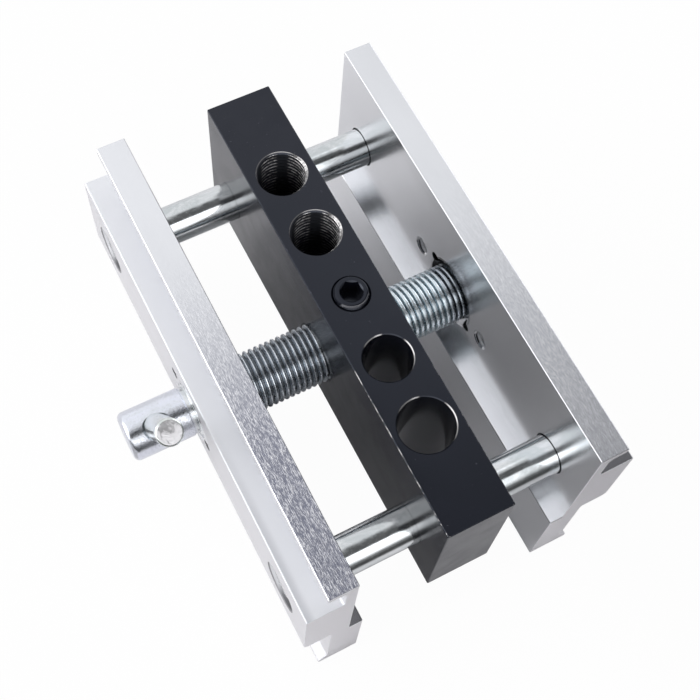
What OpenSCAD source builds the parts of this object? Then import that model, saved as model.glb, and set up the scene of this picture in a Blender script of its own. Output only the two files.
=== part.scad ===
// Self centring doweling jig: two extruded jaws that a left and right hand lead screw
// draws together under a drilled guide block, so the holes fall on the middle of the stock.
// X runs along the lead screw, Y along the jaws and Z is up, from the middle of the guide
// block's underside, where the jig rests on the edge of the stock.
// The jaws are drawn at their widest opening.

/* [Guide block] */
// Thickness of the guide block, along the screw
block_w = 15.9; // [14:0.1:18]
// Length of the guide block
block_l = 114.3; // [105:0.1:150]
// Height of the guide block
block_h = 38.1; // [36:0.1:42]
// Bevel on all the edges of the guide block
block_bevel = 0.5; // [0.2:0.1:1]
// Depth of the screw and rod axes below the top of the block
axis_drop = 23.5; // [22:0.1:25]

/* [Guide holes] */
// Share of the block's walls, on one side of the screw, between screw and inner hole
inner_wall_share = 0.2575; // [0.2:0.0005:0.35]
// Share of those walls between the inner and the outer hole
hole_wall_share = 0.3054; // [0.2:0.0001:0.4]
// Share of those walls between the outer hole and the guide rod, with the rest at the end
rod_wall_share = 0.042; // [0.03:0.001:0.25]
// Core diameter of the two tapped holes that take drill bushings
tapped_d = 10.9; // [9:0.1:12]
// Diameter of the smaller plain drill hole
small_hole_d = 11.1; // [9:0.1:12]
// Diameter of the larger plain drill hole
large_hole_d = 12.7; // [10:0.1:13]
// Countersink at the mouths of the plain holes
hole_bevel = 0.3; // [0.1:0.1:0.6]
// Countersink at the mouths of the tapped holes
tapped_bevel = 0.6; // [0.3:0.1:0.8]

/* [Jaws] */
// Length that each jaw reaches past both ends of the guide block
jaw_overhang = 0.6; // [0:0.1:8]
// Height of each jaw
jaw_h = 65; // [62:0.5:70]
// Rise of the jaws above the top of the guide block
jaw_rise = 0.6; // [0.2:0.1:2]
// Opening between the two clamping pads
opening = 49.8; // [46:0.2:60]
// Step from the clamping pad back to the upper wall
pad_proud = 3.4; // [2:0.1:5]
// Drop from the underside of the block to the top of the pad
ledge_gap = 0.3; // [0.2:0.1:1]
// Thickness of the upper wall
wall_t = 2.7; // [2:0.1:4]
// Width of the top lip, from the inner wall
lip_w = 6.9; // [6:0.1:9]
// Thickness of the top lip at its free edge
lip_t = 1.9; // [1.2:0.1:2.6]
// Fillet under the root of the lip
lip_fillet = 1.6; // [0.5:0.1:2]
// Depth of the thick rib that carries the bores, from the inner wall
rib_depth = 11.5; // [10:0.1:14]
// Height of the thick rib
rib_h = 25.4; // [23:0.1:27]
// Radius on the lower outer corner of the rib
rib_round = 1.6; // [0.5:0.1:3]
// Thickness of the lower web behind the pad
web_t = 8.1; // [7:0.1:10]
// Width of the foot at the bottom of the web
foot_w = 10.4; // [10.2:0.1:13]
// Height of the foot's upright edge
foot_edge = 1.2; // [0.6:0.1:2]
// Height at which the flare of the foot meets the web
foot_h = 4; // [3:0.1:6]
// Bevel on the inner top edge of the jaw
top_bevel = 1; // [0.4:0.1:1.5]
// Bevel on the top edge of the pad and the edges of the rib and foot
edge_bevel = 0.4; // [0.2:0.1:0.8]
// Core diameter of the small tapped holes beside the screw
side_tap_d = 4.2; // [3:0.1:5]
// Depth of the small tapped holes
side_tap_depth = 8; // [5:0.5:9]
// Wall between the nut and the small tapped holes
side_tap_wall = 3; // [1.5:0.1:6]

/* [Guide rods] */
// Diameter of the two guide rods
rod_d = 9.5; // [8:0.1:11]
// Bevel on the rod ends
rod_bevel = 0.7; // [0.3:0.1:1]

/* [Lead screw] */
// Major diameter of the left and right hand threads
screw_d = 14.3; // [13:0.1:15]
// Depth of the retaining groove at the middle of the screw
groove_depth = 2; // [1.2:0.1:2.6]
// Distance from the right jaw's outer face back to the end of the screw
end_inset = 0.3; // [0.1:0.1:2]
// Bevel at the thread ends
thread_bevel = 1; // [0.5:0.1:1.4]
// Diameter of the plain head
head_d = 11.7; // [10.5:0.1:12.5]
// Length of the plain head, outside the left jaw
head_l = 14.7; // [14:0.1:20]
// Rounding on the free end of the head
head_round = 1.4; // [0.5:0.1:2.5]
// Diameter of the undercut between thread and head
neck_d = 10.4; // [9.5:0.1:10.4]
// Length of the undercut between thread and head
neck_l = 1.2; // [0.8:0.1:2]

/* [Cross bar] */
// Diameter of the cross bar
bar_d = 6; // [5:0.1:6.5]
// Length of the cross bar
bar_l = 61; // [50:0.5:70]
// Distance from the free end of the head to the bar's axis
bar_inset = 7.1; // [6:0.1:9]
// Angle of the bar above the horizontal
bar_angle = 64; // [0:1:90]
// Bevel on the bar ends
bar_bevel = 0.4; // [0.2:0.1:0.8]

/* [Jaw nuts] */
// Wall of the threaded nut in each jaw, outside the lead screw's thread
nut_wall = 1.85; // [1.5:0.05:2.5]
// Countersink at both mouths of the nut's thread
nut_bevel = 0.5; // [0.2:0.1:0.6]
// Diameter of the key screws on the seam between nut and jaw
key_d = 2.6; // [2:0.1:2.8]
// Depth that the key screws sit below the jaw's faces
key_sink = 1.5; // [0.5:0.1:3]
// Angle of the line through the key screws above the horizontal
key_angle = 24; // [0:1:40]

/* [Set screw] */
// Diameter of the set screw that holds the lead screw
set_d = 8; // [7:0.1:9]
// Rise of the set screw above the block
set_rise = 1.2; // [0.5:0.1:2]
// Rounding on the rim of the set screw
set_round = 0.8; // [0.3:0.1:1]
// Width of the hexagon socket across its flats
socket_flats = 4.6; // [4:0.1:5]
// Depth of the hexagon socket
socket_depth = 4.5; // [3:0.1:6]
// Diameter of the dog point
dog_d = 5.5; // [4.5:0.1:6]
// Countersink round the set screw
set_mouth = 0.35; // [0.1:0.05:0.6]

/* [Fits] */
// Radial clearance of the sliding and turning fits
running_gap = 0.05; // [0.02:0.01:0.1]
// Radial clearance of the pressed and screwed fits
press_gap = 0.01; // [0.01:0.01:0.03]
// Side clearance of the dog point in the groove, on each side
groove_gap = 0.1; // [0.05:0.05:0.3]
// Clearance between the dog point and the bottom of the groove
dog_gap = 0.15; // [0.1:0.05:0.4]
// Countersink at the mouths of the sliding bores
bore_bevel = 0.4; // [0.2:0.1:0.8]

/* [Hidden] */
$fn = 64;
// Overrun of cuts past the faces they go through
over = 1;
// Pieces in each quarter round of an outline
arc_steps = 6;
// Gap kept between the body of the set screw and the lead screw's thread
thread_gap = 0.5;

screw_r = screw_d / 2;
rod_r = rod_d / 2;
tapped_r = tapped_d / 2;
small_hole_r = small_hole_d / 2;
large_hole_r = large_hole_d / 2;
walls = block_l / 2 - screw_r - small_hole_d - large_hole_d - rod_d;
inner_hole_y = screw_r + inner_wall_share * walls + small_hole_r;
outer_hole_y = inner_hole_y + small_hole_r + hole_wall_share * walls + large_hole_r;
rod_y = outer_hole_y + large_hole_r + rod_wall_share * walls + rod_r;
jaw_l = block_l + 2 * jaw_overhang;

block_top = block_h;
axis_z = block_top - axis_drop;
jaw_top = block_top + jaw_rise;
jaw_bottom = jaw_top - jaw_h;
ledge_z = -ledge_gap;
pad_x = opening / 2;
wall_x = pad_x + pad_proud;
back_x = wall_x + wall_t;
lip_x = wall_x + lip_w;
rib_x = wall_x + rib_depth;
web_x = pad_x + web_t;
foot_x = pad_x + foot_w;
rib_top = axis_z + rib_h / 2;
rib_bottom = axis_z - rib_h / 2;

head_r = head_d / 2;
neck_r = neck_d / 2;
groove_r = screw_r - groove_depth;
groove_w = dog_d + 2 * groove_gap;
thread_left = -rib_x;
neck_left = thread_left - neck_l;
head_left = neck_left - head_l;
screw_right = rib_x - end_inset;
bar_x = head_left + bar_inset;

nut_r = screw_r + nut_wall;
side_tap_r = side_tap_d / 2;
side_tap_y = nut_r + side_tap_wall + side_tap_r;
key_r = key_d / 2;
bar_r = bar_d / 2;
set_r = set_d / 2;
dog_r = dog_d / 2;
set_top = block_top + set_rise;
set_body_bottom = axis_z + screw_r + thread_gap;
dog_bottom = axis_z + groove_r + dog_gap;

// Points of an arc about [cx, cy] from angle a to angle b
function arc(cx, cy, r, a, b) =
    [for (i = [0 : arc_steps]) let (t = a + (b - a) * i / arc_steps)
        [cx + r * cos(t), cy + r * sin(t)]];

// Section of the right jaw in X and Z, from the inner foot round to the pad
function jaw_outline() = concat(
    [[pad_x, jaw_bottom],
     [foot_x - edge_bevel, jaw_bottom],
     [foot_x, jaw_bottom + edge_bevel],
     [foot_x, jaw_bottom + foot_edge],
     [web_x, jaw_bottom + foot_h],
     [web_x, rib_bottom]],
    arc(rib_x - rib_round, rib_bottom + rib_round, rib_round, -90, 0),
    [[rib_x, rib_top - edge_bevel],
     [rib_x - edge_bevel, rib_top],
     [back_x, rib_top]],
    arc(back_x + lip_fillet, jaw_top - lip_t - lip_fillet, lip_fillet, 180, 90),
    [[lip_x, jaw_top - lip_t],
     [lip_x, jaw_top],
     [wall_x + top_bevel, jaw_top],
     [wall_x, jaw_top - top_bevel],
     [wall_x, ledge_z],
     [pad_x + edge_bevel, ledge_z],
     [pad_x, ledge_z - edge_bevel]]);

// Rectangle w by h about the origin with its corners bevelled
function bevelled_box(w, h, b) =
    [[b - w / 2, -h / 2], [w / 2 - b, -h / 2], [w / 2, b - h / 2], [w / 2, h / 2 - b],
     [w / 2 - b, h / 2], [b - w / 2, h / 2], [-w / 2, h / 2 - b], [-w / 2, b - h / 2]];

// Solid turned about an axis along X from points of [radius, x]
module turned(points) {
    rotate([0, 90, 0]) rotate_extrude() polygon(points);
}

// Bore along X through the faces at x0 and x1, countersunk at both mouths
module x_bore(r, x0, x1, bevel) {
    turned([[0, x0 - over], [r + bevel + over, x0 - over], [r, x0 + bevel],
            [r, x1 - bevel], [r + bevel + over, x1 + over], [0, x1 + over]]);
}

// Plain bore along X through the faces at x0 and x1
module x_hole(r, x0, x1) {
    translate([x0 - over, 0, 0]) rotate([0, 90, 0]) cylinder(h = x1 - x0 + 2 * over, r = r);
}

// Bore down the Z axis through the faces at z0 and z1, countersunk at both mouths
module z_bore(r, z0, z1, bevel) {
    rotate_extrude()
        polygon([[0, z0 - over], [r + bevel + over, z0 - over], [r, z0 + bevel],
                 [r, z1 - bevel], [r + bevel + over, z1 + over], [0, z1 + over]]);
}

// Rod about the X axis from x0 to x1 with bevelled ends
module x_rod(r, x0, x1, bevel) {
    turned([[0, x0], [r - bevel, x0], [r, x0 + bevel],
            [r, x1 - bevel], [r - bevel, x1], [0, x1]]);
}

// Places of the two key screws round the nut's seam
module at_keys() {
    for (side = [0, 180])
        rotate([key_angle + side, 0, 0]) translate([0, nut_r, 0]) children();
}

// Places of the two guide rods
module at_rods() {
    for (side = [-1, 1]) translate([0, side * rod_y, axis_z]) children();
}

// Bar about the direction of the cross hole, centred on the lead screw
module along_bar() {
    translate([bar_x, 0, axis_z]) rotate([90 - bar_angle, 0, 0]) children();
}

// Plain block with every edge bevelled
module block_blank() {
    translate([0, 0, block_h / 2]) intersection() {
        rotate([90, 0, 0]) linear_extrude(block_l, center = true)
            polygon(bevelled_box(block_w, block_h, block_bevel));
        linear_extrude(block_h, center = true)
            polygon(bevelled_box(block_w, block_l, block_bevel));
        rotate([90, 0, 90]) linear_extrude(block_w, center = true)
            polygon(bevelled_box(block_l, block_h, block_bevel));
    }
}

module guide_block() {
    color("#26282c") difference() {
        block_blank();
        for (y = [inner_hole_y, outer_hole_y]) translate([0, y, 0])
            z_bore(tapped_r, 0, block_top, tapped_bevel);
        translate([0, -inner_hole_y, 0]) z_bore(small_hole_r, 0, block_top, hole_bevel);
        translate([0, -outer_hole_y, 0]) z_bore(large_hole_r, 0, block_top, hole_bevel);
        translate([0, 0, axis_z])
            x_bore(screw_r + running_gap, -block_w / 2, block_w / 2, bore_bevel);
        at_rods() x_hole(rod_r + press_gap, -block_w / 2, block_w / 2);
        // Tapped hole for the set screw, from the top down into the screw's bore
        translate([0, 0, axis_z]) cylinder(h = axis_drop + over, r = set_r + press_gap);
        translate([0, 0, block_top - set_mouth])
            cylinder(h = set_mouth + over, r1 = set_r + press_gap,
                     r2 = set_r + press_gap + set_mouth + over);
    }
}

// Right jaw: the extruded section with its bores
module jaw() {
    difference() {
        rotate([90, 0, 0]) linear_extrude(jaw_l, center = true) polygon(jaw_outline());
        at_rods() x_bore(rod_r + running_gap, wall_x, rib_x, bore_bevel);
        translate([0, 0, axis_z]) {
            x_hole(nut_r + press_gap, wall_x, rib_x);
            at_keys() x_hole(key_r + press_gap, wall_x, rib_x);
        }
        for (side = [-1, 1]) translate([wall_x, side * side_tap_y, axis_z])
            turned([[0, -over], [side_tap_r + edge_bevel + over, -over],
                    [side_tap_r, edge_bevel], [side_tap_r, side_tap_depth],
                    [0, side_tap_depth + side_tap_r]]);
    }
}

// Nut of the right jaw, with half of each key screw's hole
module nut() {
    translate([0, 0, axis_z]) difference() {
        x_rod(nut_r, wall_x, rib_x, edge_bevel / 2);
        x_bore(screw_r + running_gap, wall_x, rib_x, nut_bevel);
        at_keys() x_hole(key_r + press_gap, wall_x, rib_x);
    }
}

module nut_keys() {
    translate([0, 0, axis_z]) at_keys()
        x_rod(key_r, wall_x + key_sink, rib_x - key_sink, edge_bevel / 2);
}

module guide_rod() {
    x_rod(rod_r, -rib_x, rib_x, rod_bevel);
}

module left_jaw() {
    color("#d3d6dc") mirror([1, 0, 0]) jaw();
}

module right_jaw() {
    color("#d3d6dc") jaw();
}

module left_nut() {
    color("#9aa1a2") mirror([1, 0, 0]) nut();
}

module right_nut() {
    color("#9aa1a2") nut();
}

module far_guide_rod() {
    color("#b4bbbb") translate([0, rod_y, axis_z]) guide_rod();
}

module near_guide_rod() {
    color("#b4bbbb") translate([0, -rod_y, axis_z]) guide_rod();
}

// Turned screw: head with a cross hole, undercut, and both threads about a middle groove
module lead_screw() {
    color("#a3acae") difference() {
        translate([0, 0, axis_z]) turned(concat(
            [[0, head_left]],
            arc(head_r - head_round, head_left + head_round, head_round, -90, 0),
            [[head_r, neck_left],
             [neck_r, neck_left],
             [neck_r, thread_left],
             [screw_r - thread_bevel, thread_left],
             [screw_r, thread_left + thread_bevel],
             [screw_r, -groove_w / 2],
             [groove_r, -groove_w / 2],
             [groove_r, groove_w / 2],
             [screw_r, groove_w / 2],
             [screw_r, screw_right - thread_bevel],
             [screw_r - thread_bevel, screw_right],
             [0, screw_right]]));
        along_bar() cylinder(h = head_d + over, r = bar_r + press_gap, center = true);
    }
}

module t_bar() {
    color("#c4c8cb") along_bar() rotate_extrude()
        polygon([[0, -bar_l / 2], [bar_r - bar_bevel, -bar_l / 2],
                 [bar_r, bar_bevel - bar_l / 2], [bar_r, bar_l / 2 - bar_bevel],
                 [bar_r - bar_bevel, bar_l / 2], [0, bar_l / 2]]);
}

module block_set_screw() {
    color("#1d1f22") difference() {
        rotate_extrude() polygon(concat(
            [[0, dog_bottom],
             [dog_r, dog_bottom],
             [dog_r, set_body_bottom],
             [set_r, set_body_bottom]],
            arc(set_r - set_round, set_top - set_round, set_round, 0, 90),
            [[0, set_top]]));
        translate([0, 0, set_top - socket_depth])
            cylinder(h = socket_depth + over, d = socket_flats / cos(30), $fn = 6);
    }
}

module left_nut_keys() {
    color("#4a4d50") mirror([1, 0, 0]) nut_keys();
}

module right_nut_keys() {
    color("#4a4d50") nut_keys();
}

guide_block();
left_jaw();
right_jaw();
left_nut();
right_nut();
far_guide_rod();
near_guide_rod();
lead_screw();
t_bar();
block_set_screw();
left_nut_keys();
right_nut_keys();
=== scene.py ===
import math

import bmesh
import bpy
from mathutils import Matrix, Vector


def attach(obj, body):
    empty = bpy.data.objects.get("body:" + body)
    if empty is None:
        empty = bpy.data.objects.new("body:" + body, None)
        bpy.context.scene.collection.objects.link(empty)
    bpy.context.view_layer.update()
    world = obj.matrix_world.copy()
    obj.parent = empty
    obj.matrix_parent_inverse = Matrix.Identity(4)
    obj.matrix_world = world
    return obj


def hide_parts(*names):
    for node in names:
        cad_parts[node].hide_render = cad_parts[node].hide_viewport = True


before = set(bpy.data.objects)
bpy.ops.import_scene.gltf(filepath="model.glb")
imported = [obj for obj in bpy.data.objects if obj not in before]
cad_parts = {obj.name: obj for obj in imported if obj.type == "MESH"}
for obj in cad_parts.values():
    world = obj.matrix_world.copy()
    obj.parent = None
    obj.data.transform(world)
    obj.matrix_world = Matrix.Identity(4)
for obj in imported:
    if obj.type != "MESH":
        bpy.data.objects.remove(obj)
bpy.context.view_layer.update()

MM = 0.001

# Sizes of the part, from its source
BLOCK_W, BLOCK_L, BLOCK_H, BLOCK_EDGE = 15.9, 114.3, 38.1, 0.3
AXIS_Z = 14.6
INNER_Y, OUTER_Y, ROD_Y = 17.0, 34.0, 45.80
TAPPED_R, SMALL_R, LARGE_R = 5.45, 5.55, 6.35
JAW_L, JAW_TOP, JAW_BOTTOM, LEDGE_Z = 115.5, 38.7, -26.3, -0.3
PAD_X, WALL_X, BACK_X, LIP_X, RIB_X, WEB_X, FOOT_X = 24.9, 28.3, 31.0, 35.2, 39.8, 33.0, 35.3
RIB_TOP, RIB_BOTTOM, LIP_BOTTOM = 27.3, 1.9, JAW_TOP - 1.9
FOOT_TIP, FOOT_TOP = JAW_BOTTOM + 1.2, JAW_BOTTOM + 4
ROD_R, SCREW_R, NUT_R = 4.75, 7.15, 9.0
GROOVE_R, GROOVE_HALF = 5.15, 2.85
HEAD_R, NECK_R, HEAD_LEFT, NECK_LEFT, SCREW_RIGHT = 5.85, 5.6, -55.7, -41.0, 39.5
BAR_R, BAR_L, BAR_X, BAR_ANGLE = 3.0, 61.0, -48.6, math.radians(64)
SET_R, SET_TOP, SET_BODY, DOG_R, DOG_BOTTOM = 4.0, 39.3, 22.25, 2.75, 19.9
KEY_R, KEY_SINK, KEY_ANGLE = 1.3, 1.5, math.radians(24)
SIDE_TAP_Y, SIDE_TAP_R, SIDE_TAP_DEPTH, SIDE_TAP_TIP = 14.1, 2.1, 8.0, 1.2

# Threads: pitch, and depth below the crest
SCREW_PITCH, SCREW_DEPTH = 20.108 / 14.25, 0.87
BUSHING_PITCH, BUSHING_DEPTH = 1.25, 0.6
SET_PITCH, SET_DEPTH = 1.25, 0.6
SIDE_PITCH, SIDE_DEPTH = 0.8, 0.4

# Countersunk mouths: of the block's bores, then of the jaw's and the nut's, where a pair is the
# mouth at the inner wall and the one at the rib's face
TAPPED_MOUTH, PLAIN_MOUTH, SCREW_MOUTH, SET_MOUTH, ROD_SEAM = 0.5, 0.22, 0.4, 0.4, 0.1
NUT_SEAM, KEY_MOUTH, SIDE_TAP_MOUTH = 0.12, 0.15, 0.5
ROD_MOUTHS, NUT_MOUTHS = (0.3, 1.1), (2.4, 0.7)

# Rounded edges: of the jaw's ends, the lip's inner top edge, the head's face and the neck
JAW_EDGE, LIP_BEVEL, HEAD_ROUND, NECK_EDGE = 0.22, 0.13, 1.4, 0.15

# Ends of round pieces: (distance from the end, depth below the radius), from the end inwards
ROD_DOME = [(0.5, 2.0), (0.6, 1.1), (0.9, 0.4), (1.4, 0.0)]
BAR_END = [(0.0, 0.55), (0.12, 0.3), (0.4, 0.06), (0.7, 0.0)]
BAR_FLARE = [(-1.0, -0.35), (0.35, -0.35), (0.7, 0.0)]
NUT_END = [(0.0, 0.15), (0.15, 0.0)]
KEY_END = [(0.0, 0.25), (0.2, 0.0)]
SET_RIM = [(0.0, 0.75), (0.2, 0.35), (0.5, 0.15), (0.9, 0.1)]

# Hexagon sockets: across the flats and depth in the set screw, corner radius and depth in the keys
SOCKET_ACROSS, SOCKET_DEPTH = 4.7, 4.5
KEY_SOCKET_R, KEY_SOCKET_DEPTH = 0.75, 0.9

# Radial gaps of sliding and of pressed pieces, and how far cutters reach past a face
CLEARANCE, TIGHT, OVER = 0.05, 0.01, 1.0
# Steps around a turn: usual, of small pieces and of the brightest ones; then of a hexagon
STEPS, FEW_STEPS, FINE_STEPS, HEXAGON = 96, 40, 128, 6
# Points nearer than WELD are joined; edges that turn by more than SHARP_ANGLE degrees stay sharp
WELD = 0.0005
SHARP_ANGLE = 28

# Axes of round pieces: along, and two ways across it
ALONG_X = (Vector((1, 0, 0)), Vector((0, 1, 0)), Vector((0, 0, 1)))
ALONG_Z = (Vector((0, 0, 1)), Vector((1, 0, 0)), Vector((0, 1, 0)))
SOCKET_TURN = math.radians(32)
SOCKET_AXIS = (Vector((0, 0, 1)), Vector((math.cos(SOCKET_TURN), math.sin(SOCKET_TURN), 0)),
               Vector((-math.sin(SOCKET_TURN), math.cos(SOCKET_TURN), 0)))
BAR_WAY = Vector((0, -math.cos(BAR_ANGLE), math.sin(BAR_ANGLE)))
ALONG_BAR = (BAR_WAY, Vector((1, 0, 0)), BAR_WAY.cross(Vector((1, 0, 0))))
SCREW_AT = (0, 0, AXIS_Z)
BAR_AT = (BAR_X, 0, AXIS_Z)

# Directions in X and Y on the block's top: to the right in the camera's view, and to the middles
# of the two arcs of painted highlight on each rim
IMAGE_RIGHT = (0.909, -0.416)
RIM_LEFT, RIM_RIGHT = (-0.203, 0.969), (0.960, -0.287)


def solid(name, points, faces):
    """Closed mesh object with its faces turned outwards."""
    mesh = bpy.data.meshes.new(name)
    mesh.from_pydata([tuple(p) for p in points], [], faces)
    work = bmesh.new()
    work.from_mesh(mesh)
    bmesh.ops.recalc_face_normals(work, faces=work.faces)
    work.to_mesh(mesh)
    work.free()
    piece = bpy.data.objects.new(name, mesh)
    bpy.context.scene.collection.objects.link(piece)
    return piece


def baked(piece):
    """Applies the modifiers of a piece to its mesh."""
    graph = bpy.context.evaluated_depsgraph_get()
    mesh = bpy.data.meshes.new_from_object(piece.evaluated_get(graph))
    piece.modifiers.clear()
    old, name = piece.data, piece.data.name
    piece.data = mesh
    bpy.data.meshes.remove(old)
    mesh.name = name


def combine(target, operation, *tools):
    """Applies a boolean of target with each tool in turn and deletes the tools."""
    for tool in tools:
        modifier = target.modifiers.new("boolean", "BOOLEAN")
        modifier.operation = operation
        modifier.solver = "MANIFOLD"
        modifier.object = tool
        baked(target)
        spent = tool.data
        bpy.data.objects.remove(tool)
        bpy.data.meshes.remove(spent)
    return target


def around(axis, at, place, radius, turn):
    """Point at a place along an axis through at, a radius away from it at a turn."""
    along, side, up = axis
    return Vector(at) + along * place + (side * math.cos(turn) + up * math.sin(turn)) * radius


def skin(rows, many):
    """Faces over rows of many points each, with a flat face at both ends."""
    faces = []
    for i in range(rows - 1):
        for j in range(many):
            k = (j + 1) % many
            faces.append((i * many + j, i * many + k, (i + 1) * many + k, (i + 1) * many + j))
    faces.append(tuple(range(many)))
    faces.append(tuple(range((rows - 1) * many, rows * many)))
    return faces


def turned(profile, axis, at=(0, 0, 0), steps=STEPS):
    """Solid of revolution through (place along the axis, radius) points."""
    points = [around(axis, at, place, radius, 2 * math.pi * j / steps)
              for place, radius in profile for j in range(steps)]
    return solid("turned", points, skin(len(profile), steps))


def thread(profile, pitch, start, turns, axis, at=(0, 0, 0), steps=STEPS):
    """Right-hand helical solid: profile is (share of the pitch, radius) over one pitch."""
    many = len(profile)
    rows = many * turns
    points, faces = [], []
    for row in range(rows):
        share, radius = profile[row % many]
        for j in range(steps):
            place = start + pitch * (row // many + share + j / steps)
            points.append(around(axis, at, place, radius, 2 * math.pi * j / steps))
    for row in range(rows - 1):
        for j in range(steps - 1):
            a = row * steps + j
            faces.append((a, a + 1, a + steps + 1, a + steps))
        if row + many + 1 < rows:
            a = row * steps + steps - 1
            b = (row + many) * steps
            faces.append((a, b, b + steps, a + steps))
    first = list(range(steps)) + [row * steps for row in range(many, 0, -1)]
    end = rows - 1
    last = [end * steps + j for j in range(steps)]
    last += [(end - i) * steps + steps - 1 for i in range(1, many + 1)]
    for loop in (first, last):
        middle = sum((points[i] for i in loop), Vector()) / len(loop)
        reach = (middle - Vector(at)).dot(axis[0])
        points.append(Vector(at) + axis[0] * reach)
        hub = len(points) - 1
        for i in range(len(loop)):
            faces.append((loop[i], loop[(i + 1) % len(loop)], hub))
    return solid("thread", points, faces)


def vee(major, depth, crest=0.11, root=0.07):
    """Profile of a rounded vee thread; crest and root are shares of the pitch."""
    low, soft = major - depth, depth * 0.07
    return [(root, low), (0.5 - crest, major - soft), (0.5 - crest / 2, major),
            (0.5 + crest / 2, major), (0.5 + crest, major - soft), (1 - root, low)]


def rounded(corners, steps=4):
    """Outline from (x, z, corner radius) points."""
    outline = []
    for i, (x, z, radius) in enumerate(corners):
        here = Vector((x, z))
        if radius == 0:
            outline.append(here)
            continue
        back = (Vector(corners[i - 1][:2]) - here).normalized()
        on = (Vector(corners[(i + 1) % len(corners)][:2]) - here).normalized()
        half = back.angle(on) / 2
        centre = here + (back + on).normalized() * radius / math.sin(half)
        a = here + back * radius / math.tan(half) - centre
        b = here + on * radius / math.tan(half) - centre
        sweep = a.angle_signed(b)
        for k in range(steps + 1):
            turn = -sweep * k / steps
            outline.append(centre + Vector((a.x * math.cos(turn) - a.y * math.sin(turn),
                                            a.x * math.sin(turn) + a.y * math.cos(turn))))
    return outline


def quarter(radius, steps):
    """Points of a quarter round, as distances from the two faces that it joins."""
    turns = [math.pi / 2 * k / steps for k in range(steps + 1)]
    return [(radius * (1 - math.sin(turn)), radius * (1 - math.cos(turn))) for turn in turns]


def inset(outline, amount):
    """Outline moved inwards by amount, for a counter-clockwise outline."""
    moved = []
    for i, here in enumerate(outline):
        before = (here - outline[i - 1]).normalized()
        after = (outline[(i + 1) % len(outline)] - here).normalized()
        a, b = Vector((-before.y, before.x)), Vector((-after.y, after.x))
        moved.append(here + (a + b) * amount / (1 + a.dot(b)))
    return moved


def extruded(outline, length, edge):
    """Outline in X and Z drawn along Y, with rounded edges at both ends."""
    stations = [(length / 2 - short, depth) for short, depth in quarter(edge, 3)]
    rows = [(-y, depth) for y, depth in reversed(stations)] + stations
    points = [Vector((p.x, y, p.y)) for y, depth in rows for p in inset(outline, depth)]
    return solid("extruded", points, skin(len(rows), len(outline)))


def bar_profile(start, end, radius, tip):
    """Profile of a bar whose two ends have the same tip, a list such as ROD_DOME."""
    return ([(start + short, radius - less) for short, less in tip]
            + [(end - short, radius - less) for short, less in reversed(tip)])


def bore(radius, start, end, mouth, axis, at=(0, 0, 0), far_mouth=None):
    """Cutter for a bore through the faces at start and end, with countersunk mouths."""
    far = mouth if far_mouth is None else far_mouth
    return turned([(start - OVER, radius + mouth + OVER), (start + mouth, radius),
                   (end - far, radius), (end + OVER, radius + far + OVER)], axis, at)


def mirrored(piece):
    """The piece turned into its mirror image across the middle of the block."""
    piece.data.transform(Matrix.Scale(-1, 4, (1, 0, 0)))
    piece.data.flip_normals()
    return piece


def at_keys():
    """Places of the two key screws on the nut's seam."""
    return [(0, math.cos(KEY_ANGLE + side) * NUT_R, AXIS_Z + math.sin(KEY_ANGLE + side) * NUT_R)
            for side in (0, math.pi)]


def drill_keys(piece):
    """Cuts the bores of the key screws into the jaw or the nut."""
    for at in at_keys():
        combine(piece, "DIFFERENCE", bore(KEY_R + TIGHT, WALL_X, RIB_X, KEY_MOUTH, ALONG_X, at))


def guide_block():
    """Block with rounded edges, its four guide holes and the bores of the other pieces."""
    cube = bmesh.new()
    bmesh.ops.create_cube(cube, size=1)
    bmesh.ops.scale(cube, vec=(BLOCK_W, BLOCK_L, BLOCK_H), verts=cube.verts)
    bmesh.ops.translate(cube, vec=(0, 0, BLOCK_H / 2), verts=cube.verts)
    bmesh.ops.bevel(cube, geom=cube.edges, offset=BLOCK_EDGE, segments=4, profile=0.5,
                    affect="EDGES")
    points = [v.co.copy() for v in cube.verts]
    faces = [tuple(v.index for v in f.verts) for f in cube.faces]
    cube.free()
    block = solid("block", points, faces)
    turns, core_gap, face_x = int(BLOCK_H / BUSHING_PITCH) + 5, 0.02, BLOCK_W / 2
    for y in (INNER_Y, OUTER_Y):
        combine(block, "DIFFERENCE",
                thread(vee(TAPPED_R + BUSHING_DEPTH, BUSHING_DEPTH, crest=0.06, root=0.12),
                       BUSHING_PITCH, -2 * BUSHING_PITCH, turns, ALONG_Z, (0, y, 0)),
                bore(TAPPED_R - core_gap, 0, BLOCK_H, TAPPED_MOUTH, ALONG_Z, (0, y, 0)))
    combine(block, "DIFFERENCE",
            bore(SMALL_R, 0, BLOCK_H, PLAIN_MOUTH, ALONG_Z, (0, -INNER_Y, 0)),
            bore(LARGE_R, 0, BLOCK_H, PLAIN_MOUTH, ALONG_Z, (0, -OUTER_Y, 0)),
            bore(SCREW_R + CLEARANCE, -face_x, face_x, SCREW_MOUTH, ALONG_X, SCREW_AT),
            turned([(AXIS_Z, SET_R + TIGHT), (BLOCK_H - SET_MOUTH, SET_R + TIGHT),
                    (BLOCK_H + OVER, SET_R + SET_MOUTH + OVER)], ALONG_Z))
    for side in (1, -1):
        combine(block, "DIFFERENCE", bore(ROD_R + TIGHT, -face_x, face_x, ROD_SEAM, ALONG_X,
                                          (0, side * ROD_Y, AXIS_Z)))
    return block


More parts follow.
